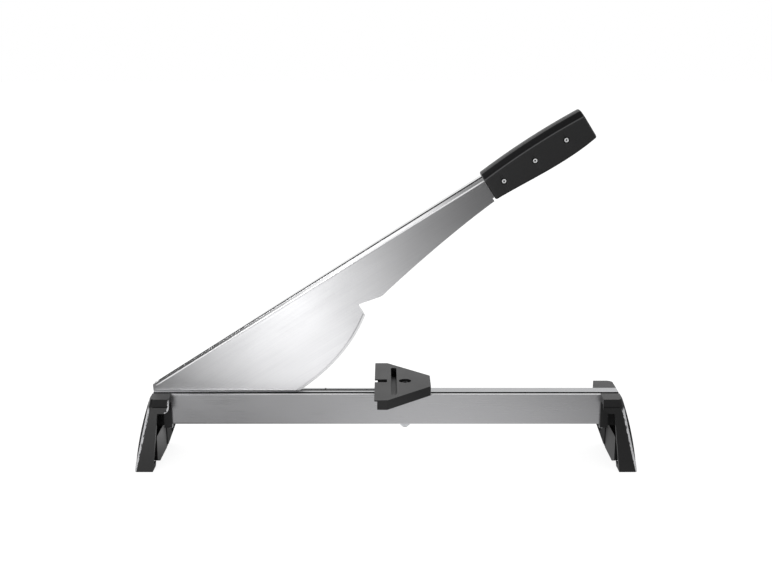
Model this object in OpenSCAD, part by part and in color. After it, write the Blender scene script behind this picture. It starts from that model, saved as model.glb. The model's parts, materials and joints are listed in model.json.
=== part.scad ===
// Laminate cutter: a slotted bed on two feet, a lever blade hinged at the left end,
// a two-shell handle and a triangular fence that turns on its own screw.
// X runs along the bed, Y is the depth with the front at -Y, Z is up.
// The origin lies on the ground under the middle of the bed. All lengths are millimetres.

/* [Bed] */
// Space between the inner faces of the two feet
bed_l = 446; // [380:2:560]
// Height of the bed above the ground
bed_z = 75; // [72:0.5:90]
// Height of both rails
rail_h = 33; // [30:0.5:36]
// Width of the slotted rail
rail_w = 14; // [13:0.5:18]
// Sheet thickness of the slotted rail
rail_t = 2.5; // [2:0.1:3]
// Width of the blade slot in the bed
slot_w = 3.2; // [2.9:0.1:4]
// Right end of the blade slot, measured from the middle of the bed
slot_end = 4; // [2:0.5:8]
// Thickness of the front rail
front_t = 3.2; // [2:0.1:4]
// Width of the groove between the two rails
rail_gap = 4.5; // [3.5:0.5:6]
// Depth of the front rail's bottom flange, from its front face
front_flange_w = 6.7; // [6:0.1:7]
// Rounding of the front rail's lower front edge
front_round = 2; // [0.5:0.1:2.5]

/* [Feet] */
// Width of a foot at the top, along the bed
foot_top_w = 20; // [18.5:0.5:24]
// Width of a foot at the ground, from its inner face plane
foot_base_w = 35.8; // [32:0.1:42]
// Bulge of the outer side over its chord
foot_bulge = 2.5; // [0:0.25:3.5]
// Depth of a foot at the top
foot_top_d = 63; // [58:1:80]
// Depth of a foot at the ground
foot_base_d = 84; // [78:1:100]
// Height of the upright front face of the slab
slab_face_h = 8; // [6.5:0.5:10]
// Thickness of the slab on top of a foot
slab_t = 6.5; // [5:0.25:6.75]
// Height of the arm that reaches inwards
foot_arm_h = 15; // [13:0.5:17]
// Wall thickness of the foot moulding
foot_wall = 3; // [2:0.25:3.5]
// Width of a leg at the ground
leg_base_w = 18.5; // [14:0.5:20]
// Width of a leg under the arm
leg_top_w = 13; // [9:0.5:14]
// Depth of a sole along Y
sole_d = 17; // [13:0.5:20]
// Height of a sole
sole_h = 6; // [4:0.5:8]
// Height of the cross web between the legs
web_h = 32; // [24:0.5:35]
// Reach of the cross web from the foot's inner face plane
web_x = 15; // [13:0.5:16]
// Height at which the rear gusset meets the socket
gusset_h = 41; // [36:0.5:45]
// Width of the socket block that holds the rail ends
socket_w = 8; // [7:0.5:10]
// Rounding of the outer upright edges at the top
foot_round = 6; // [3:0.5:7]
// Rounding of the arm's lower inner corner
arm_round = 6; // [2:0.5:6.5]
// How far the leaning panel stands proud of the slab's face
panel_t = 0.8; // [0.4:0.1:1.5]
// Distance of the panel's upper corner from the outer side
panel_in = 4.5; // [2:0.25:6]

/* [Blade and arm] */
// Distance of the pivot from the inner face of the left foot
pivot_in = 13; // [12:0.25:14]
// Depth of the pivot below the bed
pivot_drop = 13; // [12.5:0.25:14]
// Angle of the arm over the bed as it rests open
rest_angle = 32.5; // [20:0.5:50]
// Thickness of the blade
blade_t = 2.2; // [1.6:0.1:2.4]
// Length of the blade from the pivot to the handle
blade_l = 406; // [380:1:450]
// Reach of the blade belly below the pivot line
belly_h = 68; // [55:0.5:70]
// Distance of the blade tip from the pivot, along the arm
tip_u = 231.5; // [210:0.5:245]
// Reach of the blade tip below the pivot line
tip_h = 35.9; // [30:0.1:40]
// Width of the ground bevel at the cutting edge
bevel_w = 3.5; // [2:0.25:5]
// Thickness left at the cutting edge
edge_land = 0.5; // [0.2:0.1:0.8]
// Radius of the pivot eye
eye_r = 8; // [7.5:0.25:8.5]
// Distance of the spine's lower lip from the pivot line
lip_h = 17.7; // [16:0.1:20]
// Height of the spine at the pivot end
spine_h_low = 4.4; // [3.5:0.1:6]
// Height of the spine at the handle end
spine_h_high = 6.5; // [5:0.1:8]
// Width of the spine at the pivot end
spine_w_low = 7; // [6:0.5:9]
// Width of the spine at the handle end
spine_w_high = 14; // [10:0.5:16]
// Wall thickness of the spine
spine_t = 1.2; // [0.8:0.1:1.6]

/* [Handle] */
// Distance from the pivot to the handle
handle_u = 408; // [384:1:452]
// Length of the handle
handle_l = 116.5; // [105:0.5:130]
// Thickness of the handle, both shells together
handle_t = 28; // [24:0.5:34]
// Top of the handle over the pivot line at its inner end
handle_top = 27; // [26.5:0.1:30]
// Rise of the handle's top to its free end
handle_rise = 1.5; // [0:0.1:2.5]
// Bulge of the handle's top
handle_crown = 2.3; // [0:0.1:4]
// Bottom of the handle below the pivot line at its ends
handle_low = 3.2; // [2:0.1:5]
// Bulge of the handle's underside
handle_belly = 3; // [0:0.1:4]
// Rounding of the handle's shoulders
shoulder_r = 6; // [3:0.5:7]
// Spacing of the three handle screws
screw_pitch = 36.5; // [30:0.5:40]
// Rise of the handle screws' line from one to the next
screw_rise = 0.9; // [0:0.1:1.2]
// Diameter of the handle screws' heads
handle_head_d = 5.6; // [5:0.1:6.4]

/* [Fence] */
// Gap between the bed's middle and the fence's straight edge
fence_edge = 11.8; // [10:0.1:20]
// Length of the fence across the bed
fence_l = 126; // [110:1:150]
// Height of the fence
fence_h = 10; // [9:0.25:12]
// Width of the fence along the bed
fence_w = 58.3; // [52:0.1:64]
// Length of the narrow end of the fence
fence_tip = 36; // [30:1:44]
// Length of the fence's short front and rear edges
fence_flat = 13.3; // [8:0.1:20]
// Thickness of the fence's top skin
skin_t = 1.3; // [1:0.1:2]
// Overhang of the skin at the straight edge
skin_lap = 3; // [1:0.25:4]
// Width of the blade slit in the fence
slit_w = 9.5; // [9:0.1:11]
// Length of the blade slit in the fence
slit_l = 12.8; // [12:0.1:14]
// Width of the clamp groove
groove_w = 5.9; // [5:0.1:6.5]
// Length of the clamp groove
groove_l = 91; // [70:1:100]
// Depth of the clamp groove
groove_depth = 7.8; // [4:0.1:7.9]
// Position of the fence screw right of the bed's middle
fence_screw_x = 20; // [19:0.25:24]
// Diameter of the recess round the fence screw
recess_d = 13; // [12.5:0.1:14]
// Depth of the recess round the fence screw
recess_depth = 5; // [4:0.1:6]

/* [Fasteners] */
// Diameter of the pivot bolt, cross bolt and fence screw
bolt_d = 6; // [5:0.5:6]
// Diameter of the bolt heads
bolt_head_d = 10; // [9:0.25:10.5]
// Height of the bolt heads
bolt_head_h = 6; // [4:0.25:6.5]
// Width across flats of the nuts
nut_flats = 10; // [9:0.25:10.5]
// Height of the lock nuts
nut_h = 6; // [4:0.25:6.5]
// Diameter of the washers
washer_d = 12; // [11:0.25:12.5]
// Thickness of the washers
washer_t = 1.2; // [0.8:0.1:1.6]
// Outer diameter of the pivot bush
bush_d = 10; // [9:0.25:11]
// Diameter of the handle screws
handle_screw_d = 4; // [3:0.25:4]
// Diameter of the front rail's screws
rail_screw_d = 3.5; // [3:0.25:4]

/* [Hidden] */
$fn = 64;

// Clearances: snug round fits, running round fits, flat sliding fits
snug = 0.02;
run_fit = 0.05;
slide = 0.05;
// How far a cut runs past the face that it opens
over = 1;
// Steps of a curved outline and of a rounded corner
curve_n = 24;
corner_n = 6;
// Fillets and small edges
tiny_round = 0.6;
small_round = 1.5;

foot_x = bed_l / 2;
rail_end = foot_x + foot_top_w;
rail_in_w = rail_w - 2 * rail_t;
rail_z = bed_z - rail_h;
front_in = rail_w / 2 + rail_gap;
front_y = front_in + front_t;
slab_z = bed_z - slab_t;
arm_z = bed_z - foot_arm_h;
pivot_x = -foot_x - pivot_in;
pivot_z = bed_z - pivot_drop;

// A corner of a polygon as an arc of radius r
function unit(v) = v / norm(v);
function arc_corner(a, p, b, r) =
    let (u = unit(a - p), v = unit(b - p), half = acos(u * v) / 2,
         mid = p + unit(u + v) * r / sin(half),
         from = p + u * r / tan(half) - mid, sweep = 180 - 2 * half,
         turn = sign(from[0] * (p - mid)[1] - from[1] * (p - mid)[0]))
    [for (i = [0:corner_n]) let (g = turn * sweep * i / corner_n)
        mid + [from[0] * cos(g) - from[1] * sin(g), from[0] * sin(g) + from[1] * cos(g)]];
// The outline of points with one radius for each, zero for a sharp corner
function rounded(pts, radii) = let (n = len(pts))
    [for (i = [0:n - 1]) each radii[i] == 0 ? [pts[i]]
        : arc_corner(pts[(i + n - 1) % n], pts[i], pts[(i + 1) % n], radii[i])];
// A curve from a to c that leaves and arrives towards b
function bend(a, b, c, from = 0, to = 1) = [for (i = [0:curve_n])
    let (t = from + (to - from) * i / curve_n) a * pow(1 - t, 2) + b * 2 * t * (1 - t) + c * pow(t, 2)];

// Extrusions of a profile: in X and Z along the depth, in Y and Z along the bed
module through_y(w) rotate([90, 0, 0]) linear_extrude(w, center = true) children();
module through_x(from, to) translate([from, 0, 0]) rotate([90, 0, 90]) linear_extrude(to - from) children();
// A pin along the depth between two values of Y
module pin_y(d, from, to) translate([0, from, 0]) rotate([-90, 0, 0]) cylinder(d = d, h = to - from);
module ring_y(d, bore, from, to) difference() {
    pin_y(d, from, to);
    pin_y(bore, from - over, to + over);
}
module hex_y(flats, from, to) translate([0, from, 0]) rotate([-90, 0, 0])
    cylinder(d = flats / cos(180 / 6), h = to - from, $fn = 6);

// Beam

bolt_hole_d = bolt_d + 2 * snug;

module bed_rail() {
    color([0.75, 0.75, 0.76]) difference() {
        through_x(-rail_end, rail_end) difference() {
            translate([-rail_w / 2, rail_z]) square([rail_w, rail_h]);
            translate([-rail_in_w / 2, rail_z - over]) square([rail_in_w, rail_h - rail_t + over]);
        }
        translate([-rail_end - over, -slot_w / 2, bed_z - rail_t - over])
            cube([rail_end + over + slot_end - slot_w / 2, slot_w, rail_t + 2 * over]);
        translate([slot_end - slot_w / 2, 0, bed_z - rail_t - over])
            cylinder(d = slot_w, h = rail_t + 2 * over);
        for (side = [-1, 1]) translate([-side * pivot_x, 0, pivot_z])
            pin_y(bolt_hole_d, -rail_w / 2 - over, rail_w / 2 + over);
        translate([fence_screw_x, 0, bed_z - rail_t - over])
            cylinder(d = bolt_hole_d, h = rail_t + 2 * over);
    }
}

// The front rail's ends narrow to tongues that sit in the sockets below the slabs
tongue_room = 1.5;
tongue_l = socket_w - tongue_room;
rail_screw_x = foot_x + tongue_l / 2;
rail_screw_y = -front_y + front_t + (front_flange_w - front_t) / 2;
flange_t = front_t;

// Its profile, up to a height, and with a gap round it for the pocket that it sits in
module front_profile(gap = 0, top = bed_z, top_round = tiny_round) polygon(rounded(
    [[-front_y - gap, rail_z], [-front_y + front_flange_w + gap, rail_z],
     [-front_y + front_flange_w + gap, rail_z + flange_t + gap], [-front_in + gap, rail_z + flange_t + gap],
     [-front_in + gap, top], [-front_y - gap, top]],
    [front_round, 0, 0, small_round - gap, top_round, top_round]));
module front_rail() {
    color([0.62, 0.62, 0.63]) difference() {
        through_x(-foot_x - tongue_l, foot_x + tongue_l) front_profile();
        for (side = [-1, 1]) {
            translate([side * (foot_x + (tongue_l + over) / 2), -front_y, slab_z - slide])
                translate([0, 0, (slab_t + over) / 2])
                    cube([tongue_l + over, 2 * (front_t + over), slab_t + over], center = true);
            translate([side * rail_screw_x, rail_screw_y, rail_z - over])
                cylinder(d = rail_screw_d + 2 * snug, h = flange_t + 2 * over);
        }
    }
}

// Feet

socket_floor = 2.5;
socket_z = rail_z - socket_floor;
socket_front = front_y + foot_wall;
sleeve_wall = 3;
sleeve_y = rail_w / 2 + sleeve_wall;
window_z = pivot_z - 1.5 * eye_r;
tool_room = 0.5;
web_half = foot_base_d / 2 - sole_d;

// Outer side of a foot at a share s of the way from the top to the ground
function foot_side(s) = foot_top_w + (foot_base_w - foot_top_w) * s + 4 * foot_bulge * s * (1 - s);
function side_curve(inset = 0) = [for (i = [0:curve_n]) let (s = i / curve_n)
    [foot_x + foot_side(s) - inset, bed_z * (1 - s)]];
function reversed(list) = [for (i = [len(list) - 1:-1:0]) list[i]];

// Seen from the front: the arm and leg, the gusseted rear wall, and the whole silhouette
leg_in_base = foot_base_w - leg_base_w;
leg_in_top = foot_side(foot_arm_h / bed_z) - leg_top_w;
module leg_shape() polygon(concat(side_curve(), rounded(
    [[foot_x + leg_in_base, 0], [foot_x + leg_in_top, arm_z], [foot_x, arm_z], [foot_x, bed_z]],
    [0, small_round, arm_round, 0])));
module gusset_shape() polygon(concat(side_curve(),
    [[foot_x + leg_in_base - small_round, 0], [foot_x, gusset_h], [foot_x, bed_z]]));
module side_shape() polygon(concat(side_curve(), reversed(side_curve(foot_wall))));
module slab_shape() polygon(concat([for (p = side_curve()) if (p[1] > slab_z) p],
    [[foot_x + foot_side(slab_t / bed_z), slab_z], [foot_x, slab_z], [foot_x, bed_z]]));

// Seen from the side: the depth of the foot, upright for the slab and leaning below it
lean_z = bed_z - slab_face_h;
half_top = foot_top_d / 2;
half_base = foot_base_d / 2 - panel_t;
module foot_depth() polygon([[-half_base, 0], [half_base, 0], [half_top, lean_z],
    [half_top, bed_z], [-half_top, bed_z], [-half_top, lean_z]]);
module front_depth() difference() {
    foot_depth();
    translate([foot_wall, 0]) foot_depth();
}

// The panel on the front and on the rear: its outer edge runs clear of the outer side at the top
// and meets it at this share of the height, and its upper edge is broken by a small slope
panel_low_share = 0.42;
panel_round = 6;
panel_clear = 2;
module panel_depth() polygon([[-half_base - panel_t, 0], [-half_base + foot_wall / 2, 0],
    [-half_top + foot_wall / 2, lean_z], [-half_top, lean_z], [-half_top - panel_t, lean_z - panel_t]]);
function panel_side() = let (top = lean_z / bed_z) [for (i = [0:curve_n])
    let (s = 1 - top * (1 - i / curve_n),
         up = max(0, 1 - s - panel_low_share) / (top - panel_low_share))
    if (i == 0 || bed_z * (1 - s) < lean_z - panel_round - panel_clear)
        [foot_x + foot_side(s) - panel_in * pow(up, 2), bed_z * (1 - s)]];
module panel_shape(inner) let (side = panel_side(), n = len(side) + len(inner)) polygon(rounded(
    concat(side, inner), [for (i = [0:n - 1]) i == 0 ? panel_round : 0]));

// Cuts that round the outer upright edges, fading towards the ground
edge_fade = 1.2;
module edge_cutter() {
    run = foot_base_w - foot_top_w + edge_fade;
    lean = (foot_base_d - foot_top_d) / 2 + edge_fade;
    reach = norm([run, lean, bed_z]);
    translate([foot_x + foot_top_w, -foot_top_d / 2, bed_z])
        rotate([-asin(lean / reach), -asin(run / norm([run, bed_z])), 0])
            translate([0, 0, -reach - over]) linear_extrude(reach + 2 * over) difference() {
                translate([-foot_round, -foot_round]) square(2 * foot_round);
                translate([-foot_round, foot_round]) circle(foot_round);
            }
}

// The rear leg's inner wall, seen from above, behind a gap next to the cross web
web_gap = 2.5;
leg_turn = 6.5;
leg_wall_x = foot_x + web_x - tiny_round;
module leg_wall_plan() polygon([[leg_wall_x, web_half + web_gap], [leg_wall_x - leg_turn, half_base],
    [leg_wall_x - leg_turn + foot_wall, half_base], [leg_wall_x + foot_wall, web_half + web_gap]]);

module foot_body() {
    reach = foot_base_w + foot_bulge + over;
    // front wall with its arm and leg, rear wall with its gusset
    intersection() {
        through_y(foot_base_d) leg_shape();
        through_x(foot_x - over, foot_x + reach) front_depth();
    }
    intersection() {
        through_y(foot_base_d) gusset_shape();
        through_x(foot_x - over, foot_x + reach) mirror([1, 0]) front_depth();
    }
    // proud panels
    intersection() {
        through_y(foot_base_d) panel_shape([[foot_x + leg_in_base, 0], [foot_x + leg_in_top, arm_z],
            [foot_x + arm_round, arm_z], [foot_x, arm_z + arm_round], [foot_x, lean_z]]);
        through_x(foot_x - over, foot_x + reach) panel_depth();
    }
    intersection() {
        through_y(foot_base_d) panel_shape([[foot_x + leg_in_base - small_round, 0], [foot_x, gusset_h],
            [foot_x, lean_z]]);
        through_x(foot_x - over, foot_x + reach) mirror([1, 0]) panel_depth();
    }
    // outer side and slab
    intersection() {
        through_y(foot_base_d) side_shape();
        through_x(foot_x, foot_x + reach) foot_depth();
    }
    through_y(foot_top_d) slab_shape();
    // soles
    intersection() {
        through_y(foot_base_d) polygon(concat([for (p = side_curve()) if (p[1] <= sole_h) p],
            [[foot_x + leg_in_base, 0], [foot_x + leg_in_base - tiny_round, sole_h]]));
        through_x(foot_x, foot_x + reach) difference() {
            foot_depth();
            translate([-web_half, -over]) square([2 * web_half, bed_z]);
        }
    }
    // inner wall of the rear leg
    intersection() {
        through_y(foot_base_d) gusset_shape();
        linear_extrude(web_h) leg_wall_plan();
        through_x(foot_x - over, foot_x + reach) foot_depth();
    }
    // cross web with its two ribs
    web_low = 1;
    intersection() {
        through_y(2 * web_half) polygon(concat([for (p = side_curve()) if (p[1] <= web_h) p],
            [[foot_x + web_x, 0], [foot_x + web_x, web_h],
             [foot_x + foot_side(1 - web_h / bed_z), web_h]]));
        through_x(foot_x, foot_x + reach) polygon([[-web_half, web_h], [-web_half, sole_h],
            [-web_half + 2 * sole_h, web_low], [web_half, web_low], [web_half, web_h]]);
        difference() {
            translate([foot_x, -web_half, 0]) cube([reach, 2 * web_half, web_h]);
            translate([foot_x + web_x + foot_wall, -web_half + foot_wall, -over])
                cube([reach, 2 * (web_half - foot_wall), web_h + 2 * over]);
        }
    }
    // socket block and the sleeve round the slotted rail
    translate([foot_x, -socket_front, socket_z])
        cube([socket_w, socket_front + sleeve_y, slab_z - socket_z + tiny_round]);
    intersection() {
        translate([foot_x, -sleeve_y, socket_z])
            cube([reach, 2 * sleeve_y, slab_z - socket_z + tiny_round]);
        through_y(foot_base_d) polygon(concat(side_curve(), [[foot_x, 0], [foot_x, bed_z]]));
    }
}

module foot() difference() {
    foot_body();
    for (side = [0, 1]) mirror([0, side, 0]) edge_cutter();
    // seat of the slotted rail, with the groove in front of it open through the slab
    translate([foot_x - over, -rail_w / 2 - slide, rail_z])
        cube([rail_end - foot_x + over + slide, rail_w + 2 * slide, bed_z]);
    translate([foot_x - over, -rail_w / 2 - slide, window_z])
        cube([foot_base_w + foot_bulge + 2 * over, rail_w + 2 * slide, bed_z]);
    translate([foot_x - over, -front_in, slab_z + tiny_round])
        cube([foot_base_w, rail_gap + over, bed_z]);
    // pocket of the front rail's tongue
    through_x(foot_x - over, foot_x + tongue_l + slide) front_profile(slide, slab_z, 0);
    translate([rail_screw_x, rail_screw_y, socket_z - over])
        cylinder(d = rail_screw_d + 4 * run_fit, h = socket_floor + 2 * over);
    // the bolt's hole, with room for its head and nut beside the socket block
    translate([-pivot_x, 0, pivot_z]) {
        pin_y(bolt_hole_d, -sleeve_y - over, sleeve_y + over);
        pin_y(washer_d + tool_room, -socket_front - over, -sleeve_y);
    }
}
module right_foot() { color([0.16, 0.16, 0.17]) foot(); }
module left_foot() { color([0.16, 0.16, 0.17]) mirror([1, 0, 0]) foot(); }

// Screws up through the sockets into the front rail's flange
rail_head_d = 6.5;
rail_head_h = 2.4;
module front_rail_screws() {
    color([0.7, 0.7, 0.7]) for (side = [-1, 1]) translate([side * rail_screw_x, rail_screw_y, socket_z])
        difference() {
            union() {
                cylinder(d = rail_screw_d, h = socket_floor + flange_t);
                translate([0, 0, -rail_head_h])
                    cylinder(d1 = rail_head_d - rail_head_h / 2, d2 = rail_head_d, h = rail_head_h);
            }
            for (turn = [0, 90]) rotate(turn) translate([0, 0, -rail_head_h])
                cube([rail_head_d / 2, tiny_round, rail_head_h], center = true);
        }
}

// Bolts that hold the slotted rail in each foot; the left one is the blade's axle
key_share = 0.83;
nut_chamfer_share = 0.94;
head_y = sleeve_y + washer_t;
module cross_bolt_shape() difference() {
    union() {
        pin_y(bolt_d, -head_y, head_y + nut_h + over / 2);
        pin_y(bolt_head_d, -head_y - bolt_head_h, -head_y);
    }
    hex_y(bolt_d * key_share, -head_y - bolt_head_h - over, -head_y - bolt_head_h / 2);
}
module lock_nut_shape() difference() {
    intersection() {
        hex_y(nut_flats, head_y, head_y + nut_h);
        translate([0, head_y, 0]) rotate([-90, 0, 0])
            cylinder(d1 = nut_flats / cos(180 / 6), d2 = nut_flats * nut_chamfer_share, h = nut_h);
    }
    pin_y(bolt_hole_d, head_y - over, head_y + nut_h + over);
}
module washers_shape() for (side = [0, 1]) mirror([0, side, 0])
    ring_y(washer_d, bolt_hole_d, sleeve_y, head_y);

module at_pivot() translate([pivot_x, 0, pivot_z]) children();
module at_cross() translate([-pivot_x, 0, pivot_z]) children();

module pivot_bolt() { color([0.72, 0.72, 0.73]) at_pivot() cross_bolt_shape(); }
module cross_bolt() { color([0.72, 0.72, 0.73]) at_cross() cross_bolt_shape(); }
module pivot_nut() { color([0.66, 0.66, 0.67]) at_pivot() lock_nut_shape(); }
module cross_nut() { color([0.66, 0.66, 0.67]) at_cross() lock_nut_shape(); }
module pivot_washers() { color([0.78, 0.78, 0.78]) at_pivot() washers_shape(); }
module cross_washers() { color([0.78, 0.78, 0.78]) at_cross() washers_shape(); }
module cross_sleeve() {
    color([0.6, 0.6, 0.6]) at_cross()
        ring_y(bush_d, bolt_hole_d, -rail_in_w / 2 + slide, rail_in_w / 2 - slide);
}

// Plastic discs that keep the blade in the middle of the rail, and its bush
spacer_d = 2 * eye_r;
module pivot_spacers() {
    color([0.88, 0.88, 0.86]) at_pivot() for (side = [0, 1]) mirror([0, side, 0])
        ring_y(spacer_d, bolt_hole_d, blade_t / 2 + slide, rail_in_w / 2 - slide);
}
module pivot_bush() {
    color([0.72, 0.58, 0.36]) at_pivot() ring_y(bush_d, bolt_d + 2 * run_fit, -blade_t / 2, blade_t / 2);
}

// Blade: u runs from the pivot along the arm, w square to it, positive towards the spine

module arm_frame() at_pivot() rotate([0, -rest_angle, 0]) children();

spine_seat = 3;
notch_h_share = 0.62;
shoulder_u_share = 0.631;
shoulder_h = 27.7;
heel_h = 5.8;
eye_leave = 310;
tang_h = 17;
tang_low_share = 0.4;
// Turning points of the outline: of the edge by tip distance and belly, of the back by length
// and shoulder, of the eye by its radius
edge_leave_shares = [0.195, 0.885];
edge_turn_shares = [0.804, 1.008];
belly_u_share = 0.51;
back_turn_shares = [0.838, 0.4];
eye_crest_shares = [-0.12, 1.64];
eye_back_share = 0.4;

belly = [tip_u * belly_u_share, -belly_h];
function edge_low() = bend(eye_r * [cos(eye_leave), sin(eye_leave)],
    [tip_u * edge_leave_shares[0], -belly_h * edge_leave_shares[1]], belly);
function edge_high() = bend(belly,
    [tip_u * edge_turn_shares[0], -belly_h * edge_turn_shares[1]], [tip_u, -tip_h]);
function back_curve() = bend([blade_l * shoulder_u_share + small_round, -shoulder_h],
    [blade_l * back_turn_shares[0], -shoulder_h * back_turn_shares[1]], [blade_l, -heel_h]);

module blade_outline() {
    polygon(concat(
        [for (i = [0:corner_n]) let (g = 180 - rest_angle + i * (eye_leave - 180 + rest_angle) / corner_n)
            eye_r * [cos(g), sin(g)]],
        edge_low(), edge_high(),
        rounded([[tip_u, -tip_h], [tip_u, -tip_h * notch_h_share],
            [blade_l * shoulder_u_share, -shoulder_h]], [0, small_round, 0]),
        back_curve(),
        [[blade_l, lip_h + spine_seat], [eye_back_share * eye_r, lip_h + spine_seat],
         eye_r * eye_crest_shares]));
}

// The ground bevel is cut from the front by a sweep of one triangle along the cutting edge
bevel_reach = 0.25;
function bevel_ring(p, n) = let (inner = -bevel_w * (1 + bevel_reach), outer = bevel_w * bevel_reach,
        front = -blade_t / 2 - (blade_t - edge_land) * bevel_reach,
        back = -blade_t / 2 + (blade_t - edge_land) * (1 + bevel_reach))
    [[p[0] + n[0] * inner, front, p[1] + n[1] * inner], [p[0] + n[0] * outer, back, p[1] + n[1] * outer],
     [p[0] + n[0] * outer, front, p[1] + n[1] * outer]];
function edge_points() = concat([for (i = [floor(curve_n / 2):3:curve_n - 1]) edge_low()[i]],
    [for (i = [0:3:curve_n]) edge_high()[i]]);
function normal_at(pts, i) = let (n = len(pts), d = pts[min(i + 1, n - 1)] - pts[max(i - 1, 0)])
    unit([d[1], -d[0]]);
module bevel_cutter() {
    path = edge_points();
    last = len(path) - 1;
    beyond = [for (i = [0:last]) let (past = i == 0 ? -over : i == last ? over : 0)
        path[i] + past * unit(path[min(i + 1, last)] - path[max(i - 1, 0)])];
    polyhedron(
        [for (i = [0:last]) each bevel_ring(beyond[i], normal_at(path, i))],
        concat([[2, 1, 0], [3 * last, 3 * last + 1, 3 * last + 2]],
            [for (i = [0:last - 1], k = [0:2]) let (m = (k + 1) % 3) each
                [[3 * i + k, 3 * i + 3 + m, 3 * i + 3 + k], [3 * i + k, 3 * i + m, 3 * i + 3 + m]]]));
}

tang_room = 6;
tang_end = handle_u + handle_l - tang_room;
tang_low = heel_h * tang_low_share;
module blade() {
    color([0.8, 0.8, 0.81]) arm_frame() difference() {
        union() {
            through_y(blade_t) blade_outline();
            through_y(blade_t) polygon([[blade_l - over, -tang_low], [tang_end, -tang_low],
                [tang_end, tang_h], [blade_l - over, tang_h]]);
        }
        bevel_cutter();
        pin_y(bush_d, -blade_t, blade_t);
        for (p = screw_places) translate(p)
            pin_y(handle_screw_d + 2 * snug, -blade_t, blade_t);
    }
}

// Spine: a folded channel over the blade's back, wider and higher towards the handle
spine_start_share = 0.8125;
spine_in = 6;
spine_u = eye_r * spine_start_share;
spine_end = handle_u + spine_in;
module spine_side(inset) let (low = lip_h - (inset > 0 ? over : 0)) polygon([[spine_u + inset, low],
    [spine_u + inset, lip_h + spine_h_low - inset], [spine_end - inset, lip_h + spine_h_high - inset],
    [spine_end - inset, low]]);
module spine_plan(inset) polygon([
    [spine_u + inset, -spine_w_low / 2 + inset], [spine_end - inset, -spine_w_high / 2 + inset],
    [spine_end - inset, spine_w_high / 2 - inset], [spine_u + inset, spine_w_low / 2 - inset]]);
module spine_block(inset) intersection() {
    through_y(spine_w_high) spine_side(inset);
    linear_extrude(lip_h + spine_h_high) spine_plan(inset);
}
module spine() {
    color([0.82, 0.82, 0.83]) arm_frame() difference() {
        spine_block(0);
        difference() {
            spine_block(spine_t);
            // the fold grips the blade's back between two lips
            translate([spine_u, -spine_w_high, lip_h]) cube([spine_end, 2 * spine_w_high, spine_t]);
        }
        translate([0, -blade_t / 2, 0]) cube([spine_end + over, blade_t, lip_h + spine_seat]);
    }
}

// Handle: two moulded shells on the tang
screw_h_share = 0.395;
screw_mid_share = 0.455;
// The underside bulges most nearer to the end: its crown runs on this power of the length
belly_skew = 1.6;
handle_mid = (handle_top - handle_low) * screw_h_share;
screw_places = [for (i = [-1:1])
    [handle_u + handle_l * screw_mid_share + i * screw_pitch, 0, handle_mid + i * screw_rise]];
function crown(t, height) = height * 4 * t * (1 - t);
function handle_along(t, inset) = handle_u + inset + t * (handle_l - 2 * inset);
function handle_curve(inset) = let (n = curve_n / 2) rounded_ends(concat(
    [for (i = [0:n]) let (t = i / n)
        [handle_along(t, inset), handle_top + handle_rise * t + crown(t, handle_crown) - inset]],
    [for (i = [n:-1:0]) let (t = i / n)
        [handle_along(t, inset), -handle_low - crown(pow(t, belly_skew), handle_belly) + inset]]));
function rounded_ends(pts) = let (n = len(pts), k = curve_n / 2)
    rounded(pts, [for (i = [0:n - 1]) i == 0 || i == k || i == k + 1 || i == n - 1 ? small_round : 0]);
// The shoulder is a quarter of an ellipse, with its depth and its inset as shares of the rounding
shoulder_shares = [0.87, 1];
shoulder_step = 15;
module shell_half() {
    round_d = shoulder_r * shoulder_shares[0];
    round_in = shoulder_r * shoulder_shares[1];
    hull() for (g = [0:shoulder_step:90])
        rotate([90, 0, 0]) linear_extrude(handle_t / 2 - round_d * (1 - sin(g)))
            polygon(handle_curve(round_in * (1 - cos(g))));
}
head_recess = 2;
nut_head_d = handle_head_d + 2 * tiny_round;
module shell(side) difference() {
    mirror([0, side > 0 ? 1 : 0, 0]) shell_half();
    // seats of the tang and of the spine's end
    through_y(blade_t + 2 * slide) polygon([[handle_u - over, -heel_h], [tang_end + slide, -heel_h],
        [tang_end + slide, tang_h + slide], [handle_u - over, tang_h + slide]]);
    translate([handle_u - over, -spine_w_high / 2 - slide, lip_h - slide])
        cube([spine_end - handle_u + over + slide, spine_w_high + 2 * slide, spine_h_high + 2 * slide]);
    translate([handle_u - over, -blade_t / 2 - slide, tang_h - slide])
        cube([spine_end - handle_u + over + slide, blade_t + 2 * slide, lip_h - tang_h + spine_seat]);
    for (p = screw_places) translate(p) {
        pin_y(side < 0 ? handle_screw_d + 2 * snug : handle_nut_d + 2 * snug, -handle_t, handle_t);
        if (side < 0) pin_y(handle_head_d + 2 * tiny_round, -handle_t, head_recess - handle_t / 2);
        else pin_y(nut_head_d + 2 * tiny_round, handle_t / 2 - head_recess, handle_t);
    }
}
module handle_front() { color([0.14, 0.14, 0.15]) arm_frame() shell(-1); }
module handle_rear() { color([0.14, 0.14, 0.15]) arm_frame() shell(1); }

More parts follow.
